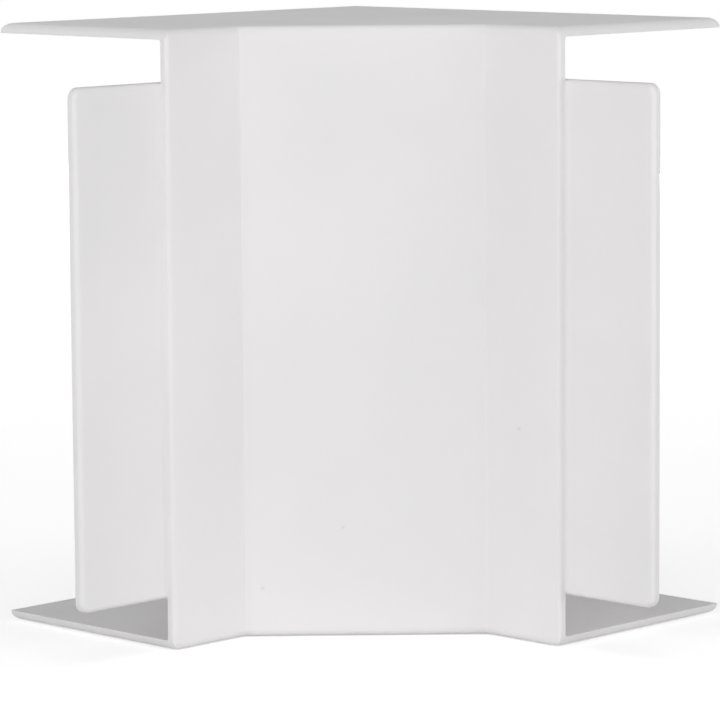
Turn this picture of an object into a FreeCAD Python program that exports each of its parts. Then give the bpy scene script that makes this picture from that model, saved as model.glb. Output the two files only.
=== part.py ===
import FreeCAD, Part
import math
import os

from FreeCAD import Vector

os.makedirs("parts", exist_ok=True)

# Internal corner cover for large wall trunking: a one-piece white moulding.
# The origin is the line where the two room walls meet, at the level of the cover's underside.
# One leg runs along +X on the wall Y = 0, the other along -Y on the wall X = 0. +Z is up.

# The trunking that the cover joins. Its top and bottom sides go in between the cover's plates,
# and its clip-on lid ends against the cover's front strips.
TRUNKING_HEIGHT = 170.0
TRUNKING_DEPTH = 70.0
LID_THICKNESS = 2.0

# Play round the trunking, play behind its lid, and how far the strips stand proud of the lid
HEIGHT_PLAY = 1.0
LID_PLAY = 0.2
STRIP_STEP = 0.9

# The cover's walls
PLATE_THICKNESS = 2.9
FRONT_THICKNESS = 2.6

# The cover in plan: each leg's reach from the room's corner, and the flat strip at its end
LEG_LENGTH = 148.5
STRIP_WIDTH = 28.3

# The tongue that reaches out of each leg, behind the trunking's lid
TONGUE_THICKNESS = 2.8
TONGUE_REACH = 32.0
TONGUE_EDGE_GAP = 12.0
TONGUE_ROOT_LENGTH = 10.0

# Rounded edges and fillets
OUTER_ROUND = 2.4
INNER_ROUND = 0.8
CREASE_ROUND = 1.0
STRIP_END_ROUND = 1.1
PLATE_END_ROUND = 3.2
TONGUE_CORNER_ROUND = 3.2
TONGUE_FRONT_ROUND = 1.5
TONGUE_ROOT_FILLET = 1.1

# How far a cutting tool runs past a face, so that it never ends on one
OVERCUT = 10.0
TOLERANCE = 1e-6

height = TRUNKING_HEIGHT + HEIGHT_PLAY + 2 * PLATE_THICKNESS
ceiling = height - PLATE_THICKNESS
depth = TRUNKING_DEPTH + STRIP_STEP
inner_depth = depth - FRONT_THICKNESS
tongue_face = TRUNKING_DEPTH - LID_THICKNESS - LID_PLAY


def leg_to_crease(strip_depth, setback):
    """Reach, along a leg, of the crease between a strip plane and the slanted panel.

    strip_depth is the strip plane's distance from the leg's wall. setback is how far the
    slanted plane lies behind the cover's outer face, square to it.
    """
    outer_slant = LEG_LENGTH - STRIP_WIDTH + depth
    return outer_slant - setback * math.sqrt(2) - strip_depth


def corner_prism(strip_depth, crease, back, end, bottom, top):
    """Upright L-shaped solid with its inside corner cut off by the slanted panel's plane."""
    plan = [
        (back, -back),
        (end, -back),
        (end, -strip_depth),
        (crease, -strip_depth),
        (strip_depth, -crease),
        (strip_depth, -end),
        (back, -end),
    ]
    corners = [Vector(x, y, bottom) for x, y in plan]
    outline = Part.makePolygon(corners + corners[:1])
    return Part.Face(outline).extrude(Vector(0, 0, top - bottom))


def upright_edges(solid, x, y):
    """The solid's edges that stand upright on one point of the plan."""
    found = []
    for edge in solid.Edges:
        ends = [vertex.Point for vertex in edge.Vertexes]
        if all(abs(end.x - x) < TOLERANCE and abs(end.y - y) < TOLERANCE for end in ends):
            found.append(edge)
    return found


def level_edges(solid, levels, wanted):
    """The solid's edges that lie flat at the given heights and have a wanted middle point."""
    found = []
    for edge in solid.Edges:
        middle = edge.valueAt((edge.FirstParameter + edge.LastParameter) / 2)
        for level in levels:
            flat = abs(edge.BoundBox.ZMin - level) < TOLERANCE and abs(edge.BoundBox.ZMax - level) < TOLERANCE
            if flat and wanted(middle):
                found.append(edge)
    return found


def round_creases(solid, strip_depth, crease, radius):
    """Round the two upright edges where the slanted panel meets the strips."""
    edges = upright_edges(solid, crease, -strip_depth) + upright_edges(solid, strip_depth, -crease)
    return solid.makeFillet(radius, edges)


def cover_block():
    """The cover's outside as a full block: long edges rounded, both ends cut off square."""
    end = LEG_LENGTH + OVERCUT
    crease = leg_to_crease(depth, 0)
    block = corner_prism(depth, crease, 0, end, 0, height)
    block = round_creases(block, depth, crease, CREASE_ROUND)

    def on_long_side(middle):
        return max(middle.x, -middle.y) < end - TOLERANCE

    block = block.makeFillet(OUTER_ROUND, level_edges(block, [0, height], on_long_side))
    return block.common(Part.makeBox(LEG_LENGTH, LEG_LENGTH, height, Vector(0, -LEG_LENGTH, 0)))


def cavity():
    """The room for the trunking's ends and the cables, open to both walls and at both ends."""
    end = LEG_LENGTH + OVERCUT
    crease = leg_to_crease(inner_depth, FRONT_THICKNESS)
    space = corner_prism(inner_depth, crease, -OVERCUT, end, PLATE_THICKNESS, ceiling)
    space = round_creases(space, inner_depth, crease, CREASE_ROUND + FRONT_THICKNESS)

    def on_front(middle):
        behind_front = min(middle.x, -middle.y) < inner_depth - TOLERANCE
        return not behind_front and max(middle.x, -middle.y) < end - TOLERANCE

    return space.makeFillet(INNER_ROUND, level_edges(space, [PLATE_THICKNESS, ceiling], on_front))


def strip_end_cutter():
    """What comes off the +X leg to round the upright outer edge of its strip."""
    radius = min(STRIP_END_ROUND, FRONT_THICKNESS / 2)
    tall = height + 2 * OVERCUT
    blank = Part.makeBox(
        radius + OVERCUT, radius + OVERCUT, tall,
        Vector(LEG_LENGTH - radius, -depth - OVERCUT, -OVERCUT),
    )
    return blank.cut(Part.makeCylinder(radius, tall, Vector(LEG_LENGTH - radius, radius - depth, -OVERCUT)))


def plate_end_cutter(level, inward):
    """What comes off the +X leg to round the outer edge of a plate's end.

    level is the height of the plate's outer face, and inward is 1 or -1 for up or down.
    """
    radius = PLATE_END_ROUND
    wide = depth + 2 * OVERCUT
    middle = level + inward * radius
    blank = Part.makeBox(
        radius + OVERCUT, wide, radius + OVERCUT,
        Vector(LEG_LENGTH - radius, -depth - OVERCUT, min(middle, middle - inward * (radius + OVERCUT))),
    )
    return blank.cut(Part.makeCylinder(
        radius, wide, Vector(LEG_LENGTH - radius, -depth - OVERCUT, middle), Vector(0, 1, 0)
    ))


def tongue():
    """The +X leg's tongue, with a root that runs behind the strip and into its wall."""
    tongue_back = tongue_face - TONGUE_THICKNESS
    tip = LEG_LENGTH + TONGUE_REACH
    root = LEG_LENGTH - TONGUE_ROOT_LENGTH
    root_end = root - (inner_depth - tongue_back)
    sunk = depth - FRONT_THICKNESS / 2
    fillet = min(TONGUE_ROOT_FILLET, sunk - tongue_face)
    fillet_middle = fillet * (1 - math.sqrt(0.5))
    bottom = PLATE_THICKNESS + TONGUE_EDGE_GAP
    top = ceiling - TONGUE_EDGE_GAP

    def at(x, distance_from_wall):
        return Vector(x, -distance_from_wall, bottom)

    behind_strip = Part.makePolygon([
        at(root_end, inner_depth),
        at(root_end, sunk),
        at(LEG_LENGTH, sunk),
        at(LEG_LENGTH, tongue_face + fillet),
    ])
    root_fillet = Part.Arc(
        at(LEG_LENGTH, tongue_face + fillet),
        at(LEG_LENGTH + fillet_middle, tongue_face + fillet_middle),
        at(LEG_LENGTH + fillet, tongue_face),
    ).toShape()
    reaching_out = Part.makePolygon([
        at(LEG_LENGTH + fillet, tongue_face),
        at(tip, tongue_face),
        at(tip, tongue_back),
        at(root, tongue_back),
        at(root_end, inner_depth),
    ])
    outline = Part.Wire(behind_strip.Edges + [root_fillet] + reaching_out.Edges)
    plate = Part.Face(outline).extrude(Vector(0, 0, top - bottom))

    def at_tip(middle):
        return middle.x > tip - TOLERANCE

    plate = plate.makeFillet(TONGUE_CORNER_ROUND, level_edges(plate, [bottom, top], at_tip))
    front_round = min(TONGUE_FRONT_ROUND, TONGUE_THICKNESS / 2)
    return plate.makeFillet(front_round, upright_edges(plate, tip, -tongue_face))


def other_leg(solid):
    """The same piece on the -Y leg, mirrored in the upright plane between the two legs."""
    return solid.mirror(Vector(0, 0, 0), Vector(1, 1, 0))


def corner_cover():
    """The whole moulding: the hollowed block with its ends' outer edges rounded, and two tongues."""
    cutters = [strip_end_cutter(), plate_end_cutter(0, 1), plate_end_cutter(height, -1)]
    cutters += [other_leg(cutter) for cutter in cutters]
    plate = tongue()
    shell = cover_block().cut([cavity()] + cutters)
    return shell.fuse([plate, other_leg(plate)]).removeSplitter()


cover = corner_cover()
cover.exportStep("parts/corner_cover.step")
print("corner_cover", "valid", cover.isValid(), "solids", len(cover.Solids), "volume", round(cover.Volume, 1))
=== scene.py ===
import math

import bpy
from mathutils import Matrix, Vector


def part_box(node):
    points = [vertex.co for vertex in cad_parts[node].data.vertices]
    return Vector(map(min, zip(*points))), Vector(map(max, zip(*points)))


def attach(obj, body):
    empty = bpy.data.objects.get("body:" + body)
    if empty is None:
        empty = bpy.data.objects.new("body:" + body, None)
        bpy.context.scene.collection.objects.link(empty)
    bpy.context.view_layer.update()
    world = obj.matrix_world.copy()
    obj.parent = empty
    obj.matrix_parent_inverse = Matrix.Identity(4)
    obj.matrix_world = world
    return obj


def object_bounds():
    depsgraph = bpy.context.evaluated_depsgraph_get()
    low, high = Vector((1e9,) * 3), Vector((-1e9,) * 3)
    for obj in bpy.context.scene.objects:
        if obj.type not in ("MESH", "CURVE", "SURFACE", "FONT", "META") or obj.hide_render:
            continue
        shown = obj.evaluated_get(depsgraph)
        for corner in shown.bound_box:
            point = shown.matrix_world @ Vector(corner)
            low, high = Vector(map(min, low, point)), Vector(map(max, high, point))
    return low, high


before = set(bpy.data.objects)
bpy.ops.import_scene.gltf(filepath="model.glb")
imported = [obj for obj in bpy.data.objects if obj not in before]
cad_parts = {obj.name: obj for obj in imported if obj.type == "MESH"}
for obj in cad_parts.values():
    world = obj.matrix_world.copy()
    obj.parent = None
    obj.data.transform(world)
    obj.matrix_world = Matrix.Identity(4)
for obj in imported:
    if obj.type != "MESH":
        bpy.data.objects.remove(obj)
cad_low, cad_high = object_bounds()

# The corner cover: one injection moulding in white rigid plastic, with the satin face that a
# fine spark-eroded tool leaves on it. It is pushed over the ends of two runs of trunking, and
# its two tongues slide in behind their lids, so that it has no screws and no second piece.

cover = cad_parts["corner_cover"]
cover_low, cover_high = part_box("corner_cover")

WHITE_PLASTIC = (0.838, 0.825, 0.824, 1)
GREYER_PLASTIC = (0.812, 0.801, 0.802, 1)
DUST_GREY = (0.70, 0.685, 0.68, 1)
PLASTIC_IOR = 1.53
PLASTIC_SPECULAR = 0.4

# Height and strength of the moulded grain and of the wall's waviness, with heights in metres
GRAIN_HEIGHT, GRAIN_STRENGTH = 0.00002, 0.35
WAVE_HEIGHT, WAVE_STRENGTH = 0.0002, 0.3

# The faint grains of dust in its faces: three in front, one on top and two inside. Each has its
# middle and its radius, in metres.
DUST_MARKS = (
    ((0.07444, -0.11666, 0.01439), 0.0008),
    ((0.09109, -0.10001, 0.03201), 0.0006),
    ((0.13321, -0.07090, 0.06167), 0.0009),
    ((0.0520, -0.0310, 0.1768), 0.0007),
    ((0.0683, -0.0979, 0.1030), 0.0007),
    ((0.0260, -0.0890, 0.0029), 0.0008),
)

# Places of the colour sockets on a Mix node
FIRST_COLOUR, SECOND_COLOUR, MIXED_COLOUR = 6, 7, 2

plastic = bpy.data.materials.new("white_satin_plastic")
plastic.use_nodes = True
nodes = plastic.node_tree.nodes
links = plastic.node_tree.links
shader = nodes["Principled BSDF"]
shader.inputs["IOR"].default_value = PLASTIC_IOR
shader.inputs["Specular IOR Level"].default_value = PLASTIC_SPECULAR

place = nodes.new("ShaderNodeTexCoord")


def noise(scale, detail, roughness):
    """A noise texture over the moulding, with a scale in cycles a metre."""
    texture = nodes.new("ShaderNodeTexNoise")
    texture.inputs["Scale"].default_value = scale
    texture.inputs["Detail"].default_value = detail
    texture.inputs["Roughness"].default_value = roughness
    links.new(place.outputs["Object"], texture.inputs["Vector"])
    return texture.outputs["Fac"]


def spread(value, low, high, to_low, to_high):
    """The value's range from low to high, drawn out to a new range and held inside it."""
    step = nodes.new("ShaderNodeMapRange")
    step.inputs["From Min"].default_value = low
    step.inputs["From Max"].default_value = high
    step.inputs["To Min"].default_value = to_low
    step.inputs["To Max"].default_value = to_high
    links.new(value, step.inputs["Value"])
    return step.outputs["Result"]


def blend_colours(mask, first, second):
    """The first colour, turning to the second where the mask is 1."""
    mix = nodes.new("ShaderNodeMix")
    mix.data_type = "RGBA"
    links.new(mask, mix.inputs["Factor"])
    for socket, colour in ((FIRST_COLOUR, first), (SECOND_COLOUR, second)):
        if isinstance(colour, tuple):
            mix.inputs[socket].default_value = colour
        else:
            links.new(colour, mix.inputs[socket])
    return mix.outputs[MIXED_COLOUR]


def dust_mark(centre, radius):
    """A mask that is 1 in the middle of a grain of dust and fades to 0 at its radius."""
    reach = nodes.new("ShaderNodeVectorMath")
    reach.operation = "DISTANCE"
    links.new(place.outputs["Object"], reach.inputs[0])
    reach.inputs[1].default_value = centre
    return spread(reach.outputs["Value"], low=0, high=radius, to_low=1, to_high=0)


def stronger(first, second):
    """The greater of two masks."""
    most = nodes.new("ShaderNodeMath")
    most.operation = "MAXIMUM"
    links.new(first, most.inputs[0])
    links.new(second, most.inputs[1])
    return most.outputs[0]


def relief(heights, height, strength):
    """A bump over the moulding, whose full height is in metres."""
    bump = nodes.new("ShaderNodeBump")
    bump.inputs["Strength"].default_value = strength
    bump.inputs["Distance"].default_value = height
    links.new(heights, bump.inputs["Height"])
    return bump


# The melt's slow drift in tone, and the few grains of dust that every white moulding has
drift = spread(noise(scale=14, detail=3, roughness=0.5), low=0.35, high=0.65, to_low=0, to_high=1)
tone = blend_colours(drift, WHITE_PLASTIC, GREYER_PLASTIC)
dust = dust_mark(*DUST_MARKS[0])
for centre, radius in DUST_MARKS[1:]:
    dust = stronger(dust, dust_mark(centre, radius))
links.new(blend_colours(dust, tone, DUST_GREY), shader.inputs["Base Color"])

# The satin face: gloss that varies in soft patches, a fine grain, and the slight waviness that a
# large flat wall has after it has shrunk on to the tool
gloss = spread(noise(scale=45, detail=4, roughness=0.6), low=0.3, high=0.7, to_low=0.50, to_high=0.60)
links.new(gloss, shader.inputs["Roughness"])
grain = relief(noise(scale=2600, detail=3, roughness=0.6), GRAIN_HEIGHT, GRAIN_STRENGTH)
waviness = relief(noise(scale=22, detail=2, roughness=0.4), WAVE_HEIGHT, WAVE_STRENGTH)
links.new(grain.outputs["Normal"], waviness.inputs["Normal"])
links.new(waviness.outputs["Normal"], shader.inputs["Normal"])

for material_slot in cover.material_slots:
    material_slot.material = plastic
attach(cover, "root")

# The floor that the cover stands on for its picture: a wide pale board, lit by the same lamps.
# It shows near white, more so away from the cover, and the soft shadow stays.

FLOOR_HALF_WIDTH = 6.0
FLOOR_GAP = 0.0002
BOARD_COLOUR = (0.80, 0.80, 0.80, 1)
BOARD_ROUGHNESS = 0.9
WHITE = (1, 1, 1, 1)

# The glow that makes the board show white, near the cover's middle and at the far reach
NEAR_GLOW, FAR_GLOW = 0.56, 0.89
NEAR_REACH, FAR_REACH = 0.1, 1.3

middle = (cover_low + cover_high) / 2
corners = ((-1, -1), (1, -1), (1, 1), (-1, 1))
floor_mesh = bpy.data.meshes.new("floor")
floor_mesh.from_pydata(
    [(x * FLOOR_HALF_WIDTH, y * FLOOR_HALF_WIDTH, 0) for x, y in corners], [], [(0, 1, 2, 3)]
)
floor = bpy.data.objects.new("floor", floor_mesh)
floor.location = (middle.x, middle.y, cad_low.z - FLOOR_GAP)
bpy.context.scene.collection.objects.link(floor)

board = bpy.data.materials.new("pale_board")
board.use_nodes = True
board_nodes = board.node_tree.nodes
board_links = board.node_tree.links
board_shader = board_nodes["Principled BSDF"]
board_shader.inputs["Base Color"].default_value = BOARD_COLOUR
board_shader.inputs["Roughness"].default_value = BOARD_ROUGHNESS
board_shader.inputs["Specular IOR Level"].default_value = 0.0
board_shader.inputs["Emission Color"].default_value = WHITE
floor_mesh.materials.append(board)


def background_ray(tree_nodes, tree_links):
    """A value of 1 for the rays that show a background, and of 0 for those that light things."""
    path = tree_nodes.new("ShaderNodeLightPath")
    shows = path.outputs["Is Camera Ray"]
    for ray in ("Is Glossy Ray", "Is Transmission Ray"):
        either = tree_nodes.new("ShaderNodeMath")
        either.operation = "MAXIMUM"
        tree_links.new(shows, either.inputs[0])
        tree_links.new(path.outputs[ray], either.inputs[1])
        shows = either.outputs[0]
    return shows


board_place = board_nodes.new("ShaderNodeTexCoord")
from_middle = board_nodes.new("ShaderNodeVectorMath")
from_middle.operation = "LENGTH"
board_links.new(board_place.outputs["Object"], from_middle.inputs[0])
glow = board_nodes.new("ShaderNodeMapRange")
glow.inputs["From Min"].default_value = NEAR_REACH
glow.inputs["From Max"].default_value = FAR_REACH
glow.inputs["To Min"].default_value = NEAR_GLOW
glow.inputs["To Max"].default_value = FAR_GLOW
board_links.new(from_middle.outputs["Value"], glow.inputs["Value"])
seen_glow = board_nodes.new("ShaderNodeMath")
seen_glow.operation = "MULTIPLY"
board_links.new(background_ray(board_nodes, board_links), seen_glow.inputs[0])
board_links.new(glow.outputs["Result"], seen_glow.inputs[1])
board_links.new(seen_glow.outputs[0], board_shader.inputs["Emission Strength"])

# The room's light: a white surround that fills the shadows, soft lamps round the cover's front,
# one above it, and a low one behind it, which the plates don't mirror.

FILL_LEVEL = 0.13
LAMP_DISTANCE = 1.6

world = bpy.data.worlds.new("white_surround")
bpy.context.scene.world = world
world.use_nodes = True
world_nodes = world.node_tree.nodes
world_links = world.node_tree.links
surround = world_nodes["Background"]
surround.inputs["Color"].default_value = WHITE
world_level = world_nodes.new("ShaderNodeMath")
world_level.operation = "MAXIMUM"
world_links.new(background_ray(world_nodes, world_links), world_level.inputs[0])
world_level.inputs[1].default_value = FILL_LEVEL
world_links.new(world_level.outputs[0], surround.inputs["Strength"])


def towards(azimuth, elevation):
    """Unit vector from the cover out to a lamp or the camera, from angles in degrees."""
    turn, lift = math.radians(azimuth), math.radians(elevation)
    return Vector((math.sin(turn) * math.cos(lift), -math.cos(turn) * math.cos(lift), math.sin(lift)))


def soft_lamp(name, azimuth, elevation, width, height, watts, mirrored=True):
    """A rectangular lamp that faces the middle of the cover, with its sizes in metres."""
    lamp = bpy.data.lights.new(name, "AREA")
    lamp.shape = "RECTANGLE"
    lamp.size = width
    lamp.size_y = height
    lamp.energy = watts
    holder = bpy.data.objects.new(name, lamp)
    outward = towards(azimuth, elevation)
    holder.location = middle + outward * LAMP_DISTANCE
    holder.rotation_mode = "QUATERNION"
    holder.rotation_quaternion = (-outward).to_track_quat("-Z", "Y")
    holder.visible_camera = False
    holder.visible_glossy = mirrored
    bpy.context.scene.collection.objects.link(holder)


soft_lamp("front_left_lamp", azimuth=10, elevation=10, width=0.8, height=0.8, watts=8.4)
soft_lamp("front_right_lamp", azimuth=78, elevation=10, width=0.8, height=0.8, watts=4.2)
soft_lamp("left_lamp", azimuth=-16, elevation=4, width=1.2, height=0.5, watts=5.0)
soft_lamp("right_lamp", azimuth=104, elevation=4, width=1.2, height=0.5, watts=8.9)
soft_lamp("top_lamp", azimuth=44, elevation=80, width=1.2, height=1.2, watts=6.9)
soft_lamp("back_lamp", azimuth=210, elevation=-1.3, width=1.6, height=0.09, watts=12, mirrored=False)

# The camera stands in front of the slanted panel, a little above it, and looks slightly down.
# Its long lens keeps the upright edges nearly parallel, and it leans a little to one side.

CAMERA_AZIMUTH = 44.3017
CAMERA_ELEVATION = 7.4129
CAMERA_ROLL = -0.4152
CAMERA_DISTANCE = 1.1980
CAMERA_AIM = Vector((0.060852, -0.061703, 0.074458))
FOCAL_PIXELS = 3999.0
IMAGE_PIXELS = 720
SENSOR_WIDTH = 36
NEAR_CLIP = 0.05

outward = towards(CAMERA_AZIMUTH, CAMERA_ELEVATION)
level_right = Vector((math.cos(math.radians(CAMERA_AZIMUTH)), math.sin(math.radians(CAMERA_AZIMUTH)), 0))
level_up = outward.cross(level_right)
lean = math.radians(CAMERA_ROLL)
camera_right = level_right * math.cos(lean) + level_up * math.sin(lean)
camera_up = level_up * math.cos(lean) - level_right * math.sin(lean)

camera_data = bpy.data.cameras.new("camera")
camera_data.sensor_width = SENSOR_WIDTH
camera_data.lens = SENSOR_WIDTH * FOCAL_PIXELS / IMAGE_PIXELS
camera_data.clip_start = NEAR_CLIP
camera = bpy.data.objects.new("camera", camera_data)
turned = Matrix((camera_right, camera_up, outward)).transposed().to_4x4()
camera.matrix_world = Matrix.Translation(CAMERA_AIM + outward * CAMERA_DISTANCE) @ turned
bpy.context.scene.collection.objects.link(camera)
bpy.context.scene.camera = camera
bpy.context.scene.view_settings.view_transform = "Standard"
